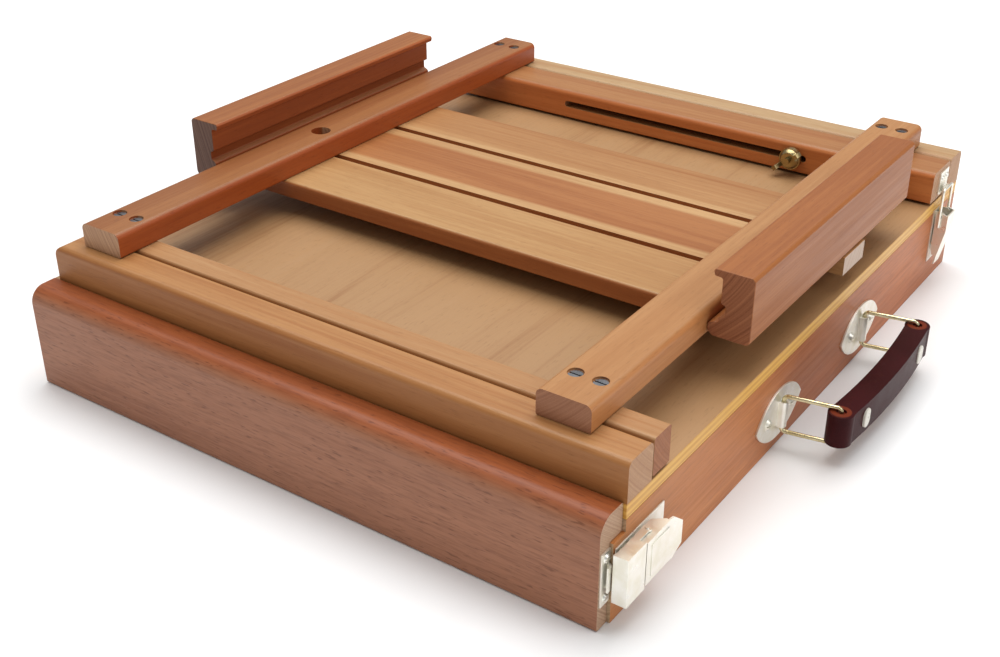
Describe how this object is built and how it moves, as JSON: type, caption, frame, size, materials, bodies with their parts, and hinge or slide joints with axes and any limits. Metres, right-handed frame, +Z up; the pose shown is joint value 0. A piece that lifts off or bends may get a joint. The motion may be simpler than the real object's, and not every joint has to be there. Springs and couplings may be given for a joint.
{
  "type": "table easel box",
  "caption": "Wooden table easel: flat sketch box with a sliding drawer and a tilting canvas frame with ledges, held by a slotted stay, with side latches and a swinging grip handle.",
  "frame": {"origin": "centre of the box underside (the box itself, handle and latches not counted)", "axes": "+X from the tilting frame's hinge end towards the carrying handle, +Y from the drawer front towards the back, +Z up"},
  "size_m": [0.404, 0.43, 0.1134],
  "materials": {
    "beech": "oiled, satin",
    "plywood": "oiled, satin, pale edge",
    "board": "oiled, satin",
    "zinc_steel": "bright zinc",
    "brass": "polished, pale",
    "grip_leather": "smooth, semi-gloss",
    "rivet_cream": "glossy"
  },
  "bodies": {
    "box": {"bottom_panel": "plywood", "side_hinge_end": "beech", "side_handle_end": "beech", "back_wall": "beech", "lid_panel": "plywood", "front_rim": "beech", "rear_rim": "beech", "hinge_screws": "zinc_steel", "stay_pin": "zinc_steel", "handle_brackets": "brass", "bracket_screws": "brass", "front_latch_base": "brass", "rear_latch_base": "brass", "latch_hinge_pins": "zinc_steel", "latch_base_screws": "brass"},
    "drawer": {"drawer_front": "beech", "drawer_sides": "beech", "drawer_back": "beech", "drawer_bottom": "plywood", "long_divider": "beech", "short_divider": "beech", "front_strike": "brass", "front_strike_screws": "brass"},
    "frame": {"front_arm": "beech", "rear_arm": "beech", "lower_rail": "beech", "upper_rail": "beech", "rail_screws": "zinc_steel", "centre_board": "board", "slide_guides": "beech", "lower_ledge": "beech", "rear_strike": "brass", "rear_strike_screws": "brass"},
    "holder": {"upper_ledge": "beech", "slide_bar_a": "beech", "slide_bar_b": "beech", "slide_screws": "zinc_steel"},
    "stay": {"stay": "brass", "stay_bolt": "brass", "nut_washer": "brass"},
    "wing_nut": {"wing_nut": "brass"},
    "front_bail": {"front_bail": "brass"},
    "rear_bail": {"rear_bail": "brass"},
    "grip": {"grip": "grip_leather", "grip_rivets": "rivet_cream"},
    "front_lever": {"front_latch_lever": "brass"},
    "front_loop": {"front_latch_loop": "brass"},
    "rear_lever": {"rear_latch_lever": "brass"},
    "rear_loop": {"rear_latch_loop": "brass"}
  },
  "joints": [
    {"name": "drawer_slide", "type": "slide", "parent": "box", "child": "drawer", "axis": [0, -1, 0], "range_m": [0, 0.3]},
    {"name": "frame_tilt", "type": "hinge", "parent": "box", "child": "frame", "pos_m": [-0.16625, 0, 0.06825], "axis": [0, -1, 0], "range_deg": [0, 70]},
    {"name": "holder_slide", "type": "slide", "parent": "frame", "child": "holder", "axis": [1, 0, 0], "range_m": [0, 0.255]},
    {"name": "stay_swing", "type": "hinge", "parent": "box", "child": "stay", "pos_m": [-0.03855, 0.1921, 0.06825], "axis": [0, -1, 0], "range_deg": [0, 140]},
    {"name": "wing_nut_turn", "type": "hinge", "parent": "stay", "child": "wing_nut", "pos_m": [0.08915, 0.16, 0.06825], "axis": [0, -1, 0], "continuous": true},
    {"name": "front_bail_swing", "type": "hinge", "parent": "box", "child": "front_bail", "pos_m": [0.1829, -0.0421, 0.0205], "axis": [0, 0, 1], "range_deg": [-75, 55]},
    {"name": "rear_bail_swing", "type": "hinge", "parent": "box", "child": "rear_bail", "pos_m": [0.1829, 0.0649, 0.0205], "axis": [0, 0, 1], "range_deg": [-75, 55]},
    {"name": "grip_pivot", "type": "hinge", "parent": "front_bail", "child": "grip", "pos_m": [0.21146, -0.03706, 0.0205], "axis": [0, 0, 1], "range_deg": [-55, 75]},
    {"name": "front_latch_lift", "type": "hinge", "parent": "box", "child": "front_lever", "pos_m": [0.1842, -0.192, 0.027], "axis": [0, 0, -1], "range_deg": [0, 100]},
    {"name": "front_loop_pivot", "type": "hinge", "parent": "front_lever", "child": "front_loop", "pos_m": [0.1842, -0.1855, 0.027], "axis": [0, 0, -1], "range_deg": [-100, 0]},
    {"name": "rear_latch_lift", "type": "hinge", "parent": "box", "child": "rear_lever", "pos_m": [0.1842, 0.1833, 0.047], "axis": [0, -1, 0], "range_deg": [0, 100]},
    {"name": "rear_loop_pivot", "type": "hinge", "parent": "rear_lever", "child": "rear_loop", "pos_m": [0.1842, 0.1833, 0.0405], "axis": [0, -1, 0], "range_deg": [-100, 0]}
  ],
  "couplings": [
    {"joint": "stay_swing", "follows": "frame_tilt", "ratio": 2},
    {"joint": "rear_bail_swing", "follows": "front_bail_swing", "ratio": 1},
    {"joint": "grip_pivot", "follows": "front_bail_swing", "ratio": -1},
    {"joint": "front_loop_pivot", "follows": "front_latch_lift", "ratio": -1},
    {"joint": "rear_loop_pivot", "follows": "rear_latch_lift", "ratio": -1}
  ]
}
